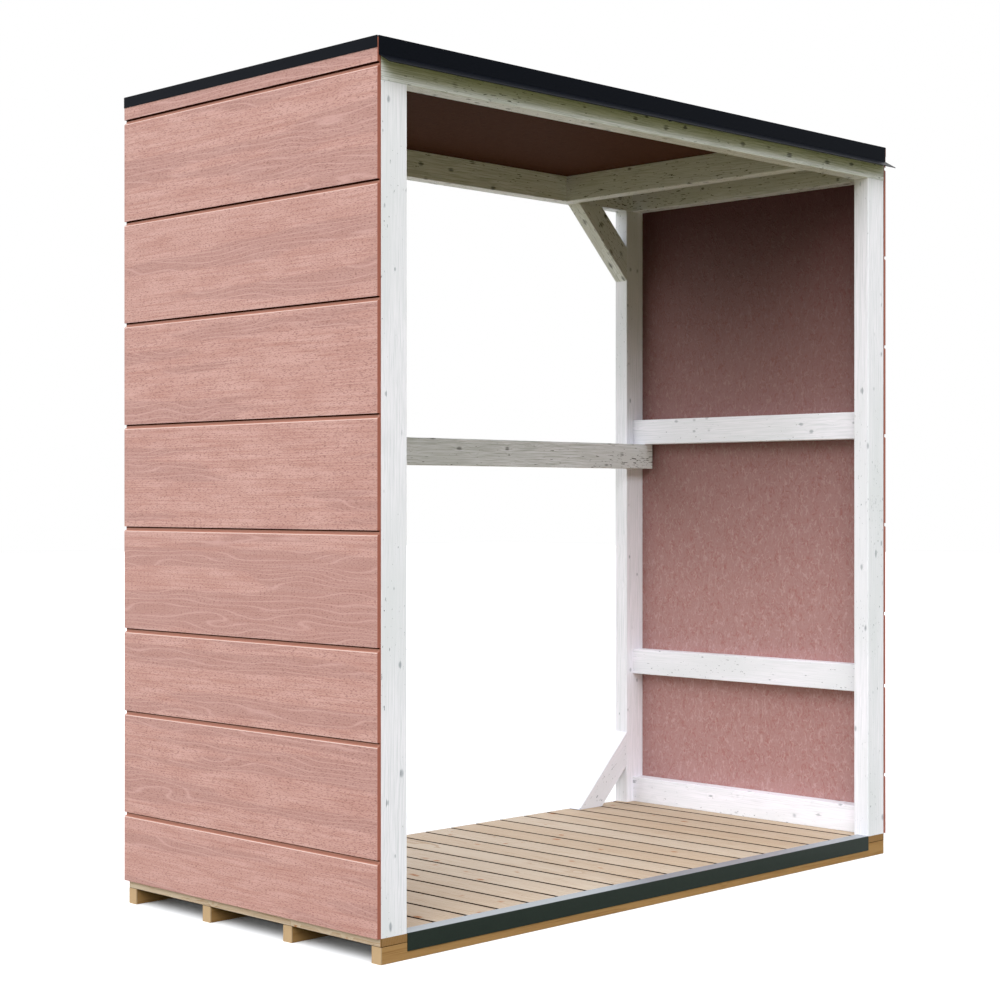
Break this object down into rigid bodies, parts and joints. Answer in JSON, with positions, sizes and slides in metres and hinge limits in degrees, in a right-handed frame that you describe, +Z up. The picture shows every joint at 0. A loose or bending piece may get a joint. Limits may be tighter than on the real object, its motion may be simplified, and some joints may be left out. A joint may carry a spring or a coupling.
{
  "type": "open log store",
  "caption": "Open log store with a flat roof, two clad sides, a slatted deck on bearers, and an open front and back.",
  "frame": {"origin": "on the ground, under the middle of the store's outline, the front drip lip included", "axes": "+X along the width to the right seen from the front, -Y out of the open front, +Z up"},
  "size_m": [2.024, 1.033, 2.1025],
  "materials": {
    "painted_timber": "white glaze, satin",
    "bearer_wood": "planed, treated",
    "deck_wood": "planed, untreated",
    "threshold_metal": "satin, dark grey green",
    "roof_board_wood": "raw board",
    "roof_felt": "mineral felt",
    "trim_metal": "satin black",
    "cladding_paint": "stained board with a pressed grain, matt"
  },
  "bodies": {
    "root": {"back_bearer": "bearer_wood", "back_header": "painted_timber", "back_middle_rail": "painted_timber", "back_trim": "trim_metal", "deck_boards": "deck_wood", "front_bearer": "bearer_wood", "front_header": "painted_timber", "front_trim": "trim_metal", "left_back_post": "painted_timber", "left_bottom_brace": "painted_timber", "left_front_post": "painted_timber", "left_lower_cladding": "cladding_paint", "left_lower_rail": "painted_timber", "left_sole_rail": "painted_timber", "left_top_brace": "painted_timber", "left_top_rail": "painted_timber", "left_trim": "trim_metal", "left_upper_cladding": "cladding_paint", "left_upper_rail": "painted_timber", "right_back_post": "painted_timber", "right_bottom_brace": "painted_timber", "right_front_post": "painted_timber", "right_lower_cladding": "cladding_paint", "right_lower_rail": "painted_timber", "right_sole_rail": "painted_timber", "right_top_brace": "painted_timber", "right_top_rail": "painted_timber", "right_trim": "trim_metal", "right_upper_cladding": "cladding_paint", "right_upper_rail": "painted_timber", "roof_board": "roof_board_wood", "roof_felt": "roof_felt", "roof_joist": "painted_timber", "second_bearer": "bearer_wood", "third_bearer": "bearer_wood", "threshold": "threshold_metal"}
  },
  "joints": []
}
